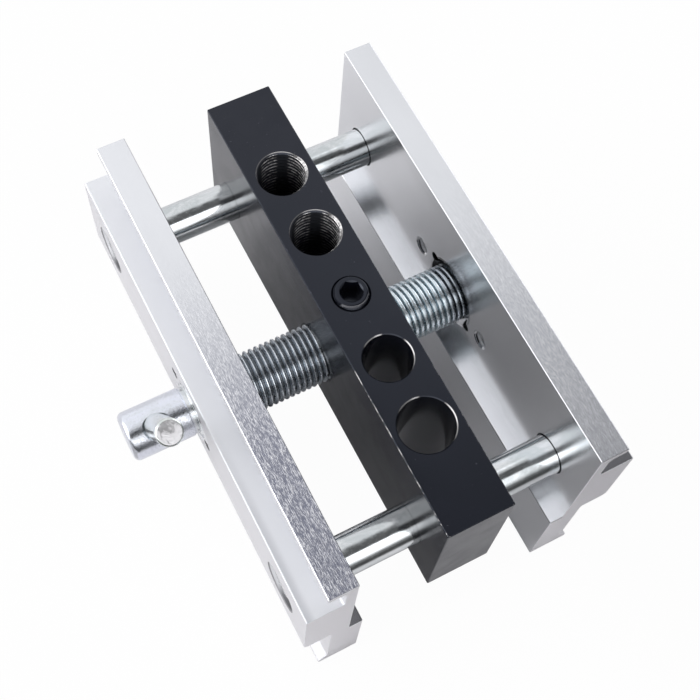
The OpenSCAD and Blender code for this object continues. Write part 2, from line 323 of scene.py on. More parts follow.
def jaw():
    """Right jaw: the extruded section with its bores."""
    outline = rounded([
        (PAD_X, JAW_BOTTOM, 0.25), (FOOT_X, JAW_BOTTOM, 0.4), (FOOT_X, FOOT_TIP, 0.3),
        (WEB_X, FOOT_TOP, 0.8), (WEB_X, RIB_BOTTOM, 0.6), (RIB_X, RIB_BOTTOM, 1.6),
        (RIB_X, RIB_TOP, 0.45), (BACK_X, RIB_TOP, 0.6), (BACK_X, LIP_BOTTOM, 1.6),
        (LIP_X, LIP_BOTTOM, 0.25), (LIP_X, JAW_TOP, 0.3), (WALL_X + LIP_BEVEL, JAW_TOP, 0.03),
        (WALL_X, JAW_TOP - LIP_BEVEL, 0.03), (WALL_X, LEDGE_Z, 0), (PAD_X, LEDGE_Z, 0.3)])
    piece = extruded(outline, JAW_L, JAW_EDGE)
    near_mouth, far_mouth = ROD_MOUTHS
    tap_end, turns = WALL_X + SIDE_TAP_DEPTH, int(SIDE_TAP_DEPTH / SIDE_PITCH) + 3
    for side in (1, -1):
        rod_at, tap_at = (0, side * ROD_Y, AXIS_Z), (0, side * SIDE_TAP_Y, AXIS_Z)
        combine(piece, "DIFFERENCE",
                bore(ROD_R + CLEARANCE, WALL_X, RIB_X, near_mouth, ALONG_X, rod_at, far_mouth),
                thread(vee(SIDE_TAP_R + SIDE_DEPTH, SIDE_DEPTH), SIDE_PITCH,
                       WALL_X - 2 * SIDE_PITCH, turns, ALONG_X, tap_at, FEW_STEPS),
                turned([(WALL_X - OVER, SIDE_TAP_R + SIDE_TAP_MOUTH + OVER),
                        (WALL_X + SIDE_TAP_MOUTH, SIDE_TAP_R), (tap_end, SIDE_TAP_R),
                        (tap_end + SIDE_TAP_TIP, 0.1)], ALONG_X, tap_at, FEW_STEPS))
    combine(piece, "DIFFERENCE",
            bore(NUT_R + TIGHT, WALL_X, RIB_X, NUT_SEAM, ALONG_X, SCREW_AT))
    drill_keys(piece)
    return piece


def nut():
    """Nut of the right jaw, threaded to mesh with the lead screw at every pose."""
    piece = turned(bar_profile(WALL_X, RIB_X, NUT_R, NUT_END), ALONG_X, SCREW_AT)
    start = SCREW_PITCH * math.floor(WALL_X / SCREW_PITCH - 2)
    turns = int((RIB_X - WALL_X) / SCREW_PITCH) + 6
    near_mouth, far_mouth = NUT_MOUTHS
    combine(piece, "DIFFERENCE",
            thread(vee(SCREW_R + CLEARANCE, SCREW_DEPTH, crest=0.33, root=0.03), SCREW_PITCH,
                   start, turns, ALONG_X, SCREW_AT),
            bore(SCREW_R - SCREW_DEPTH + CLEARANCE, WALL_X, RIB_X, near_mouth, ALONG_X, SCREW_AT,
                 far_mouth))
    drill_keys(piece)
    return piece


def keys():
    """Two grub screws on the seam of the right nut."""
    left, right = WALL_X + KEY_SINK, RIB_X - KEY_SINK
    both = None
    for at in at_keys():
        piece = turned(bar_profile(left, right, KEY_R, KEY_END), ALONG_X, at, FEW_STEPS)
        for place in (left, right):
            combine(piece, "DIFFERENCE",
                    turned([(place - KEY_SOCKET_DEPTH, KEY_SOCKET_R),
                            (place + KEY_SOCKET_DEPTH, KEY_SOCKET_R)], ALONG_X, at, HEXAGON))
        both = piece if both is None else combine(both, "UNION", piece)
    return both


def guide_rod(side):
    """Rod with a domed end inside each jaw's outer face; side is 1 far and -1 near."""
    return turned(bar_profile(-RIB_X, RIB_X, ROD_R, ROD_DOME), ALONG_X,
                  (0, side * ROD_Y, AXIS_Z), FINE_STEPS)


def lead_screw():
    """Turned head and core, with a right-hand and a left-hand thread about the middle groove."""
    face = [(HEAD_LEFT + short, HEAD_R - less) for short, less in reversed(quarter(HEAD_ROUND, 8))]
    slope, overlap, lead_in, lead_out = 0.5, 1.0, 0.9, 1.1
    core = turned(face + [
        (NECK_LEFT - NECK_EDGE, HEAD_R), (NECK_LEFT, HEAD_R - NECK_EDGE), (NECK_LEFT, NECK_R),
        (-GROOVE_HALF - overlap, NECK_R), (-GROOVE_HALF - slope, GROOVE_R),
        (GROOVE_HALF + overlap, GROOVE_R)], ALONG_X, SCREW_AT, FINE_STEPS)
    outside = SCREW_R + 0.1
    for is_left, end, crest in ((False, SCREW_RIGHT, 0.27), (True, RIB_X, 0.15)):
        half = thread(vee(SCREW_R, SCREW_DEPTH, crest, root=0.06), SCREW_PITCH, -SCREW_PITCH,
                      int(end / SCREW_PITCH) + 4, ALONG_X, SCREW_AT)
        combine(half, "INTERSECT",
                turned([(GROOVE_HALF, SCREW_R - lead_in), (GROOVE_HALF + lead_in, outside),
                        (end - lead_out, outside), (end, SCREW_R - 1)], ALONG_X, SCREW_AT))
        combine(core, "UNION", mirrored(half) if is_left else half)
    combine(core, "DIFFERENCE",
            turned(bar_profile(-HEAD_R, HEAD_R, BAR_R + TIGHT, BAR_FLARE), ALONG_BAR, BAR_AT))
    return core


def cross_bar():
    """Plain bar with softly sheared ends."""
    return turned(bar_profile(-BAR_L / 2, BAR_L / 2, BAR_R, BAR_END), ALONG_BAR, BAR_AT)


def set_screw():
    """Dog point grub screw with a hexagon socket and a rounded rim."""
    rim = [(SET_TOP - short, SET_R - less) for short, less in reversed(SET_RIM)]
    dog_edge, core_r, outside = 0.3, SET_R - SET_DEPTH - 0.1, SET_R + 0.1
    core = turned([(DOG_BOTTOM, DOG_R - dog_edge), (DOG_BOTTOM + dog_edge, DOG_R),
                   (SET_BODY + 0.2, DOG_R), (SET_BODY + 0.5, core_r), (SET_TOP - 1.4, core_r)]
                  + rim, ALONG_Z)
    body = thread(vee(SET_R - 0.02, SET_DEPTH), SET_PITCH, SET_BODY - 2 * SET_PITCH,
                  int((BLOCK_H - SET_BODY) / SET_PITCH) + 5, ALONG_Z)
    combine(body, "INTERSECT",
            turned([(SET_BODY, SET_R - 0.8), (SET_BODY + 0.8, outside),
                    (BLOCK_H + 0.1, outside), (BLOCK_H + 0.5, SET_R - 0.5)], ALONG_Z))
    combine(core, "UNION", body)
    corner = SOCKET_ACROSS / math.cos(math.pi / 6) / 2
    combine(core, "DIFFERENCE",
            turned([(SET_TOP - SOCKET_DEPTH, corner), (SET_TOP + OVER, corner)], SOCKET_AXIS,
                   steps=HEXAGON),
            turned([(SET_TOP - 0.35, corner - 0.36), (SET_TOP + 0.2, corner + 0.19)], ALONG_Z))
    return core


class Tree:
    """An emptied node tree and short ways to add nodes to it."""

    def __init__(self, tree):
        self.tree = tree
        self.tree.nodes.clear()

    def node(self, kind, **settings):
        """A new node with some of its settings made."""
        made = self.tree.nodes.new(kind)
        for key, value in settings.items():
            setattr(made, key, value)
        return made

    def link(self, source, socket):
        self.tree.links.new(source, socket)

    def feed(self, value, socket):
        """Gives a socket a number, a colour or another node's output."""
        if isinstance(value, (int, float)):
            socket.default_value = value
        elif isinstance(value, tuple):
            socket.default_value = (*value, 1)
        else:
            self.link(value, socket)

    def split(self, vector):
        parts = self.node("ShaderNodeSeparateXYZ")
        self.link(vector, parts.inputs[0])
        return parts.outputs

    def math(self, operation, a, b=0.0):
        made = self.node("ShaderNodeMath", operation=operation)
        self.feed(a, made.inputs[0])
        self.feed(b, made.inputs[1])
        return made.outputs[0]

    def size(self, value):
        """The value without its sign."""
        return self.math("ABSOLUTE", value)

    def most(self, a, b):
        """The larger of two values."""
        return self.math("MAXIMUM", a, b)

    def product(self, first, *others):
        for other in others:
            first = self.math("MULTIPLY", first, other)
        return first

    def distance(self, a, b, middle):
        """Distance of the place (a, b) from a middle point."""
        flat = [self.math("POWER", self.math("SUBTRACT", value, at), 2.0)
                for value, at in zip((a, b), middle)]
        return self.math("SQRT", self.math("ADD", *flat))

    def along(self, a, b, way):
        """Reach of the place (a, b) along a way, a pair of numbers."""
        return self.math("ADD", self.product(a, way[0]), self.product(b, way[1]))

    def remap(self, value, low, high, to_low=0.0, to_high=1.0):
        """Smooth step from to_low, where value is low, to to_high, where it is high."""
        made = self.node("ShaderNodeMapRange", interpolation_type="SMOOTHSTEP")
        self.feed(value, made.inputs["Value"])
        made.inputs["From Min"].default_value = low
        made.inputs["From Max"].default_value = high
        self.feed(to_low, made.inputs["To Min"])
        self.feed(to_high, made.inputs["To Max"])
        return made.outputs["Result"]

    def mix(self, factor, a, b):
        made = self.node("ShaderNodeMix", data_type="RGBA")
        self.feed(factor, made.inputs["Factor"])
        self.feed(a, made.inputs["A"])
        self.feed(b, made.inputs["B"])
        return made.outputs["Result"]

    def layered(self, colour, *layers):
        """Colour with (share, colour) layers laid over it in turn."""
        for share, over in layers:
            colour = self.mix(share, colour, over)
        return colour

    def blended(self, value, *layers):
        """Value with (share, value) layers laid over it in turn."""
        for share, over in layers:
            value = self.remap(share, 0.0, 1.0, value, over)
        return value


class Finish(Tree):
    """Node tree of one metal, with its pattern in millimetres of the part's frame."""

    def __init__(self, name, metallic):
        self.material = bpy.data.materials.new(name)
        self.material.use_nodes = True
        super().__init__(self.material.node_tree)
        self.bsdf = self.node("ShaderNodeBsdfPrincipled")
        output = self.node("ShaderNodeOutputMaterial")
        self.link(self.bsdf.outputs[0], output.inputs["Surface"])
        self.feed(metallic, self.bsdf.inputs["Metallic"])
        coords = self.node("ShaderNodeTexCoord")
        scaled = self.node("ShaderNodeVectorMath", operation="SCALE")
        self.link(coords.outputs["Object"], scaled.inputs[0])
        scaled.inputs["Scale"].default_value = 1 / MM
        self.place = scaled.outputs[0]
        self.x, self.y, self.z = self.split(self.place)
        self.nx, self.ny, self.nz = self.split(coords.outputs["Normal"])

    def noise(self, scale, stretch=(1, 1, 1), detail=3.0, roughness=0.5, distortion=0.0):
        """Noise of about scale features per millimetre, drawn out along the axes by stretch."""
        shaped = self.node("ShaderNodeVectorMath", operation="DIVIDE")
        self.link(self.place, shaped.inputs[0])
        shaped.inputs[1].default_value = stretch
        made = self.node("ShaderNodeTexNoise")
        self.link(shaped.outputs[0], made.inputs["Vector"])
        made.inputs["Scale"].default_value = scale
        made.inputs["Detail"].default_value = detail
        made.inputs["Roughness"].default_value = roughness
        made.inputs["Distortion"].default_value = distortion
        return made.outputs["Fac"]

    def bump(self, height, depth, below=None):
        """Bump of depth millimetres from a height between 0 and 1, over the bump below it."""
        made = self.node("ShaderNodeBump")
        made.inputs["Strength"].default_value = 1.0
        made.inputs["Distance"].default_value = depth * MM
        self.feed(height, made.inputs["Height"])
        if below is not None:
            self.link(below, made.inputs["Normal"])
        return made.outputs["Normal"]

    def surface(self, colour, roughness, normal, metallic=None):
        """The material, with these looks; metallic only where it varies."""
        self.feed(colour, self.bsdf.inputs["Base Color"])
        self.feed(roughness, self.bsdf.inputs["Roughness"])
        self.link(normal, self.bsdf.inputs["Normal"])
        if metallic is not None:
            self.link(metallic, self.bsdf.inputs["Metallic"])
        return self.material


# Tones of painted shade in the key screws' bores, and of painted light in the right jaw's near
# bore
RECESS_SHADE, RECESS_PAINTED_LIGHT = (0.04, 0.04, 0.045), (0.34, 0.34, 0.35)


def near_right_key_light(m):
    """1 about the near key of the right jaw, where painted light makes it brighter than the
    others.
    """
    return m.product(m.remap(m.x, -1.0, 1.0), m.remap(m.y, 1.0, -1.0))


def key_recess_shade(m):
    """Share and tone of the painted shade in the key screws' bores, whose walls belong to jaw and
    nut, with painted light in the right jaw's near bore.
    """
    reach = m.math("MINIMUM", *[m.distance(m.y, m.z, at[1:]) for at in at_keys()])
    return (m.remap(reach, KEY_R + 0.22, KEY_R + 0.06),
            m.mix(near_right_key_light(m), RECESS_SHADE, RECESS_PAINTED_LIGHT))


# Tones of the jaws, with their painted shade, and how metallic they are inside and on the satin
# outside
INNER_DULL, INNER_BRIGHT = (0.87, 0.88, 0.905), (0.91, 0.92, 0.945)
OUTER_LEVEL, OUTER_SIDE_SHADE, JAW_END = (0.85, 0.86, 0.885), (0.72, 0.715, 0.73), (0.84, 0.83, 0.85)
SHELF_EDGE_SHADE, SHADE_STRIP, LIP_TONE = (0.50, 0.51, 0.54), (0.30, 0.30, 0.32), (0.50, 0.53, 0.56)
SEAM_AND_MOUTH_SHADE, RING_TONE, BEVEL_SHADE = (0.05, 0.05, 0.055), (0.26, 0.26, 0.27), (0.45, 0.45, 0.47)
FLECK_DARK, FLECK_BRIGHT = (0.23, 0.24, 0.30), (0.90, 0.90, 0.93)
JAW_METALLIC, SATIN_METALLIC = 0.92, 0.55


def rod_mouth_shades(m, across):
    """Shares of the dark seams at the rods' bores and of the painted shade in their mouths,
    stronger on the near half, and of the rings about them.
    """
    reach = m.distance(m.size(m.y), m.z, (ROD_Y, AXIS_Z))
    seam = m.product(m.remap(reach, ROD_R + 0.42, ROD_R + 0.34),
                     m.remap(across, WALL_X + 0.8, WALL_X + 0.4))
    # Painted shade in the countersunk mouth at the rib's face, stronger on its near half
    mouth = m.product(m.remap(reach, ROD_R + 1.1, ROD_R + 0.9),
                      m.remap(across, RIB_X - 1.5, RIB_X - 1.2),
                      m.remap(m.ny, -0.55, 0.15, 0.12, 1.0), 0.92)
    ring = m.product(m.remap(reach, ROD_R + 0.85, ROD_R + 0.95),
                     m.remap(reach, ROD_R + 1.35, ROD_R + 1.2),
                     m.remap(across, RIB_X - 0.5, RIB_X - 0.3), 0.9)
    return m.most(seam, mouth), ring


def jaw_aluminium():
    """Extruded aluminium: satin outside, smooth inside, milled in flecks along the lip's top."""
    m = Finish("jaw_aluminium", JAW_METALLIC)
    across = m.size(m.x)
    level = m.remap(m.nz, 0.8, 0.95)
    # Painted shade: the upright faces of the satin outside are darker than its level faces
    shaded_side = m.remap(m.size(m.nx), 0.6, 0.9)
    ends = m.remap(m.size(m.ny), 0.8, 0.95)
    outside = m.product(m.remap(across, WALL_X + 0.8, WALL_X + 1.4),
                        m.remap(m.z, JAW_TOP - 0.3, JAW_TOP - 0.6))
    lip_top = m.product(m.remap(m.nz, 0.9, 0.99), m.remap(m.z, JAW_TOP - 0.6, JAW_TOP - 0.3))
    # Painted shade on the lip's bevelled inner top edge
    bevel = m.product(m.remap(across, WALL_X + 0.22, WALL_X + 0.16),
                      m.remap(m.z, JAW_TOP - 0.22, JAW_TOP - 0.16), 0.75)
    # Painted shade along the outer edge of the shelf, towards the near end
    shelf_edge_shade = m.product(outside, level, m.remap(across, RIB_X - 2.6, RIB_X - 0.6),
                           m.remap(m.y, -5.0, -45.0), 0.55)
    # Painted shade on the near end of the right jaw's shelf, under its lip, and on the left jaw's
    # ledge
    under_lip_shade = m.product(level, m.remap(m.z, JAW_TOP - 1.0, JAW_TOP - 2.0),
                          m.remap(m.z, RIB_TOP - 1.0, RIB_TOP - 0.6), m.remap(m.x, 0.0, 1.0),
                          m.remap(m.y, -40.0, -50.0))
    ledge = m.product(level, m.remap(m.z, 0.4, 0.1), m.remap(m.x, 0.0, -1.0))
    flecks = m.noise(8.0, (1, 9, 1), roughness=0.65, distortion=0.25)
    drawn = m.noise(2.4, (1, 200, 1))
    cloud = m.noise(0.07, (1, 2, 1), detail=2.0)
    # The flecks fade out towards the far end and are weaker on the right jaw
    strength = m.product(lip_top, m.remap(m.y, 28.0, -30.0, 0.04, 1.0),
                         m.remap(m.x, -1.0, 1.0, 1.0, 0.35))
    seam_and_mouth_shade, ring = rod_mouth_shades(m, across)
    colour = m.layered(
        m.mix(m.remap(cloud, 0.3, 0.7), INNER_DULL, INNER_BRIGHT),
        (outside, m.mix(shaded_side, OUTER_LEVEL, OUTER_SIDE_SHADE)), (shelf_edge_shade, SHELF_EDGE_SHADE),
        (ends, JAW_END), (seam_and_mouth_shade, SEAM_AND_MOUTH_SHADE), (m.most(under_lip_shade, ledge), SHADE_STRIP),
        (ring, RING_TONE), (m.product(lip_top, m.remap(m.x, -1.0, 1.0, 0.06, 0.14)), LIP_TONE),
        (bevel, BEVEL_SHADE), key_recess_shade(m),
        (strength, m.mix(m.remap(flecks, 0.44, 0.66), FLECK_DARK, FLECK_BRIGHT)))
    rough = m.blended(m.remap(drawn, 0.3, 0.7, 0.20, 0.225), (outside, 0.50), (ends, 0.38),
                      (lip_top, 0.26), (under_lip_shade, 0.25))
    satin = m.product(outside, m.math("SUBTRACT", 1.0, ends),
                      m.math("SUBTRACT", 1.0, under_lip_shade))
    metal = m.remap(satin, 0.0, 1.0, JAW_METALLIC, SATIN_METALLIC)
    mill = m.product(flecks, strength)
    return m.surface(colour, rough, m.bump(mill, 0.07, m.bump(drawn, 0.0003)), metal)


# Tones of the black finish with painted light and shade, and of bare metal: wear and painted
# highlights
BLACK_TINT = (0.76, 0.82, 0.97)
BLACK_DULL, BLACK_BRIGHT = (0.0018, 0.0024, 0.0052), (0.0034, 0.0040, 0.0078)
FAR_REFLECTION_DULL, FAR_REFLECTION_BRIGHT = (0.0075, 0.0080, 0.0118), (0.0105, 0.0110, 0.0150)
SPECK_TONE, TAPPED_SHADE = (0.10, 0.10, 0.12), (0.0015, 0.0014, 0.0013)
SET_RIM_HIGHLIGHT = (0.55, 0.55, 0.58)
WEAR_AND_HIGHLIGHT_DULL, WEAR_AND_HIGHLIGHT_BRIGHT = (0.05, 0.048, 0.046), (0.95, 0.93, 0.92)


class BlackFinish(Finish):
    """Black finished steel, with its mottled tone and roughness and its grain."""

    def __init__(self, name):
        super().__init__(name, 0.0)
        self.feed(BLACK_TINT, self.bsdf.inputs["Specular Tint"])
        mottle = self.noise(0.12, detail=4.0, roughness=0.55)
        self.mottled = self.remap(mottle, 0.3, 0.7)
        self.tone = self.mix(self.mottled, BLACK_DULL, BLACK_BRIGHT)
        self.rough = self.remap(mottle, 0.3, 0.7, 0.17, 0.24)
        self.grain = self.noise(2.2, roughness=0.6)
        self.upward = self.size(self.nz)


def black_steel():
    """The set screw's black steel, with a painted highlight of bare metal on the near part of its
    rim.
    """
    m = BlackFinish("black_steel")
    # Painted highlight on the near part of the rim, as bare metal
    rim = m.product(m.remap(m.z, BLOCK_H - 0.2, BLOCK_H + 0.2), m.remap(m.upward, 0.98, 0.85),
                    m.remap(m.ny, -0.15, -0.45), m.remap(m.y, -1.5, -2.6))
    return m.surface(m.mix(rim, m.tone, SET_RIM_HIGHLIGHT), m.rough, m.bump(m.grain, 0.0015), rim)


def about_hole(m, y):
    """Distance from a guide hole's axis, and the cosine of the turn from a way in X and Y."""
    reach = m.distance(m.x, m.y, (0.0, y))
    by = m.math("SUBTRACT", m.y, y)
    return reach, lambda way: m.math("DIVIDE", m.along(m.x, by, way), reach)


def chipped_edges(m, across):
    """Share of bare metal in chips and, near the corner, flakes along the top's long edges."""
    border = m.remap(across, BLOCK_W / 2 - 0.7, BLOCK_W / 2 - 0.5)
    chips = m.remap(m.noise(0.35, (1, 5, 1), detail=6.0, roughness=0.8), 0.50, 0.58)
    flakes = m.remap(m.noise(1.3, (1, 2, 1), detail=5.0, roughness=0.75), 0.50, 0.57)
    return m.most(m.product(border, chips, m.remap(m.y, -14.0, -18.0),
                            m.remap(m.y, -48.0, -38.0), 0.45),
                  m.product(border, flakes, m.remap(m.y, -36.0, -44.0), 0.35))


def rim_wear_and_highlights(m):
    """Share of bare metal on the guide holes: painted highlight arcs on the plain ones; on the
    tapped ones a thin worn line, and scratches kept to the side facing right as painted
    highlights.
    """
    rims = 0.0
    scratches = m.remap(m.noise(1.6, roughness=0.6), 0.42, 0.56, 0.10, 0.36)
    for y, radius in ((INNER_Y, TAPPED_R), (OUTER_Y, TAPPED_R), (-INNER_Y, SMALL_R),
                      (-OUTER_Y, LARGE_R)):
        reach, facing = about_hole(m, y)
        right = facing(RIM_RIGHT)
        if y < 0:
            arcs = m.most(m.remap(facing(RIM_LEFT), 0.86, 0.95, 0.0, 0.55),
                          m.remap(right, 0.70, 0.84, 0.0, 0.35))
        else:
            line = m.remap(reach, radius + 0.30, radius + 0.38)
            arcs = m.most(m.product(line, 0.22),
                          m.product(m.remap(right, 0.45, 0.8), scratches))
        rims = m.most(rims, m.product(m.remap(reach, radius + 1.3, radius + 1.0), arcs))
    return rims


def tapped_threads(m):
    """Shares of the threads of the two tapped holes, and of the painted highlights on their
    crests.
    """
    tapped, crests = 0.0, 0.0
    broken = m.remap(m.noise(0.9, roughness=0.6), 0.38, 0.60, 0.3, 1.4)
    fading = m.remap(m.z, BLOCK_H - 15.0, BLOCK_H - 5.0, 0.15, 1.0)
    for y in (INNER_Y, OUTER_Y):
        reach, facing = about_hole(m, y)
        turn = facing(IMAGE_RIGHT)
        # Painted highlights on the crests facing right and left in the camera's view, fading with
        # depth
        left = m.product(m.remap(turn, -0.12, -0.28, 0.0, 0.58), m.remap(turn, -0.90, -0.70))
        lit = m.product(m.most(m.remap(turn, 0.20, 0.45, 0.0, 0.60), left), fading, broken)
        crest = m.product(m.remap(reach, TAPPED_R + 0.10, TAPPED_R + 0.03),
                          m.remap(reach, TAPPED_R - 0.3, TAPPED_R - 0.2), lit)
        crests = m.most(crests, crest)
        tapped = m.most(tapped, m.remap(reach, TAPPED_R + 0.75, TAPPED_R + 0.65))
    return m.product(tapped, m.remap(m.z, BLOCK_H - 0.5, BLOCK_H - 0.7)), crests


def worn_black_steel():
    """The block's black steel, lighter towards the far end as painted light, with worn bare edges,
    rims bare from wear and painted highlights, and painted highlights on the tapped threads'
    crests.
    """
    m = BlackFinish("worn_black_steel")
    across = m.size(m.x)
    sloping = m.product(m.remap(m.upward, 0.3, 0.5), m.remap(m.upward, 0.97, 0.85))
    top = m.remap(m.z, BLOCK_H - 1.1, BLOCK_H - 0.7)
    tapped, crests = tapped_threads(m)
    # Bare metal: real wear on the chipped edges and rims, painted highlights on the rims and
    # thread crests
    bare = m.product(m.most(chipped_edges(m, across), rim_wear_and_highlights(m)), sloping, top)
    bare = m.most(bare, crests)
    metal = m.remap(bare, 0.0, 0.15)
    specks = m.remap(m.noise(1.1), 0.70, 0.75)
    colour = m.layered(
        # Painted reflection: lighter towards the far end
        m.tone, (m.remap(m.y, -20.0, 55.0), m.mix(m.mottled, FAR_REFLECTION_DULL, FAR_REFLECTION_BRIGHT)),
        # Specks, then painted shade in the tapped holes
        (m.product(specks, 0.3), SPECK_TONE), (tapped, TAPPED_SHADE),
        (metal, m.mix(bare, WEAR_AND_HIGHLIGHT_DULL, WEAR_AND_HIGHLIGHT_BRIGHT)))
    inside = m.product(m.remap(across, BLOCK_W / 2 - 0.3, BLOCK_W / 2 - 0.6),
                       m.remap(m.size(m.y), BLOCK_L / 2 - 0.3, BLOCK_L / 2 - 0.6),
                       m.remap(m.upward, 0.3, 0.2))
    rough = m.blended(m.rough, (inside, 0.15), (tapped, 0.75))
    return m.surface(colour, rough, m.bump(m.grain, 0.0008), metal)


# Tones of the zinc plating, and of painted shade on the threads, the far rod and the head
PLATE_DULL, PLATE_BRIGHT = (0.66, 0.70, 0.71), (0.84, 0.86, 0.87)
ROOT_SHADE_LEFT, ROOT_SHADE_RIGHT, ROOT_WALL_SHADE = (0.17, 0.185, 0.205), (0.38, 0.43, 0.46), (0.12, 0.13, 0.145)
CREST_LEFT_SHADED, CREST_RIGHT = (0.74, 0.785, 0.83), (0.78, 0.86, 0.90)
CREST_WALL_SHADE = (0.45, 0.49, 0.53)
NEAR_SIDE_SHADE, FAR_ROD_SHADE = (0.22, 0.245, 0.26), (0.24, 0.25, 0.255)
HEAD_TONE, HEAD_NEAR_SHADE, PIT_AND_SHADE_TONE = (0.80, 0.825, 0.90), (0.38, 0.39, 0.41), (0.16, 0.165, 0.18)


def thread_tone(m, reach, cloud):
    """Painted shade: darker roots, a darker left half, shade on the right half's near side and on
    the turns by the right jaw's wall.
    """
    right = m.remap(m.x, -6.0, 6.0)
    # Painted shade on the turns by the right jaw's wall and inside its nut
    wall_shade = m.product(m.remap(m.x, WALL_X - 4.4, WALL_X - 2.8),
                       m.remap(m.x, WALL_X + 11.0, WALL_X))
    root = m.layered(ROOT_SHADE_LEFT, (right, ROOT_SHADE_RIGHT), (wall_shade, ROOT_WALL_SHADE))
    crest = m.layered(CREST_LEFT_SHADED, (right, CREST_RIGHT), (wall_shade, CREST_WALL_SHADE))
    # Painted shade on the near side of the right half
    near_side_shade = m.product(right, m.remap(m.ny, -0.28, -0.42), m.remap(m.ny, -0.92, -0.76),
                      m.remap(cloud, 0.3, 0.6, 0.15, 0.75))
    return m.layered(root, (m.remap(reach, SCREW_R - 0.85, SCREW_R - 0.5), crest),
                     (near_side_shade, NEAR_SIDE_SHADE))


def plated_steel():
    """Bright zinc plating with cloudy blotches, duller down in the threads, with painted shade
    there, on the far rod's right part and on the head's near side.
    """
    m = Finish("plated_steel", 1.0)
    cloud = m.noise(0.22, (2, 1, 1), detail=4.0, roughness=0.65, distortion=0.6)
    blotch = m.noise(0.9, (1.5, 1, 1), detail=4.0, roughness=0.6)
    turning = m.noise(6.0, (1, 40, 40), detail=2.0)
    reach = m.distance(m.y, m.z, (0.0, AXIS_Z))
    screw = m.remap(reach, 12.0, 10.0)
    threaded = m.product(screw, m.remap(m.x, NECK_LEFT + 1.5, NECK_LEFT + 2.0))
    head = m.product(screw, m.remap(m.x, NECK_LEFT + 0.5, NECK_LEFT))
    # Painted shade on the far rod's right part, then on the head's near side; the head's pits are
    # stronger on its near side as painted shade
    far_rod_shade = m.product(m.remap(m.y, 20.0, 30.0), m.remap(m.x, 12.0, 18.0),
                      m.remap(m.ny, -0.25, -0.42), m.remap(cloud, 0.3, 0.6, 0.55, 0.95))
    head_near_shade = m.product(head, m.remap(m.ny, -0.25, -0.40), m.remap(m.ny, -0.88, -0.76),
                      m.remap(blotch, 0.40, 0.56, 0.25, 0.75))
    pits = m.remap(m.noise(2.6, detail=4.0, roughness=0.7), 0.56, 0.66)
    # The head's pits, stronger on its near side as painted shade
    pits_and_shade = m.product(pits, head, m.remap(m.ny, -0.1, -0.35, 0.2, 0.75))
    colour = m.layered(
        m.mix(m.remap(cloud, 0.35, 0.65), PLATE_DULL, PLATE_BRIGHT), (far_rod_shade, FAR_ROD_SHADE),
        (threaded, thread_tone(m, reach, cloud)),
        (m.product(head, m.remap(cloud, 0.3, 0.6, 0.6, 1.0)), HEAD_TONE), (head_near_shade, HEAD_NEAR_SHADE),
        (pits_and_shade, PIT_AND_SHADE_TONE))
    rough = m.blended(m.remap(blotch, 0.35, 0.65, 0.08, 0.18),
                      (head, m.remap(blotch, 0.35, 0.65, 0.14, 0.24)),
                      (threaded, m.remap(blotch, 0.3, 0.7, 0.22, 0.34)))
    dimples = m.product(m.noise(1.7, detail=4.0, roughness=0.65), screw)
    return m.surface(colour, rough, m.bump(dimples, 0.035,
                                           m.bump(blotch, 0.005, m.bump(turning, 0.0004))))


# Tones of the bar's plating and end face, of the nuts with painted shade, and of the keys with
# painted light
BAR_DULL, BAR_BRIGHT = (0.66, 0.70, 0.68), (0.80, 0.83, 0.81)
SHEARED_DULL, SHEARED_BRIGHT = (0.40, 0.395, 0.40), (0.84, 0.83, 0.84)
NUT_DULL, NUT_BRIGHT = (0.70, 0.71, 0.73), (0.82, 0.83, 0.85)
NUT_SHADE_NEAR, NUT_SHADE_FAR = (0.50, 0.51, 0.53), (0.03, 0.03, 0.033)
KEY_DULL, KEY_BRIGHT, KEY_PAINTED_LIGHT = (0.03, 0.031, 0.033), (0.08, 0.082, 0.086), (0.42, 0.42, 0.43)


def bar_steel():
    """The cross bar's plating, with a sheared and smeared end face."""
    m = Finish("bar_steel", 1.0)
    end = m.remap(m.size(m.along(m.ny, m.nz, (BAR_WAY.y, BAR_WAY.z))), 0.9, 0.98)
    smear = m.noise(0.45, (1, 1, 1.6), detail=4.0, roughness=0.6, distortion=1.2)
    blotch = m.noise(0.9, (1, 1, 2), detail=4.0, roughness=0.6)
    tone = m.mix(m.remap(blotch, 0.35, 0.65), BAR_DULL, BAR_BRIGHT)
    face = m.mix(m.remap(smear, 0.38, 0.60), SHEARED_DULL, SHEARED_BRIGHT)
    rough = m.blended(m.remap(blotch, 0.35, 0.65, 0.10, 0.22), (end, 0.36))
    dents = m.product(smear, end)
    return m.surface(m.mix(end, tone, face), rough, m.bump(dents, 0.09, m.bump(blotch, 0.004)))


def nut_steel():
    """Bright on its faces and in the outer mouth; the inner mouth and the thread get painted
    shade, light on the near side and near black on the far side.
    """
    m = Finish("nut_steel", 1.0)
    cloud = m.noise(0.4, detail=4.0, roughness=0.6)
    bright = m.mix(m.remap(cloud, 0.3, 0.7), NUT_DULL, NUT_BRIGHT)
    # Painted shade, from light on the near side to near black on the far side
    dark = m.mix(m.remap(m.y, -3.0, 3.0), NUT_SHADE_NEAR, NUT_SHADE_FAR)
    face = m.remap(m.size(m.nx), 0.9, 0.97)
    outer = m.remap(m.size(m.x), RIB_X - 2.5, RIB_X - 1.0)
    colour = m.layered(dark, (m.most(face, outer), bright), key_recess_shade(m))
    return m.surface(colour, m.remap(cloud, 0.3, 0.7, 0.14, 0.24), m.bump(cloud, 0.002))


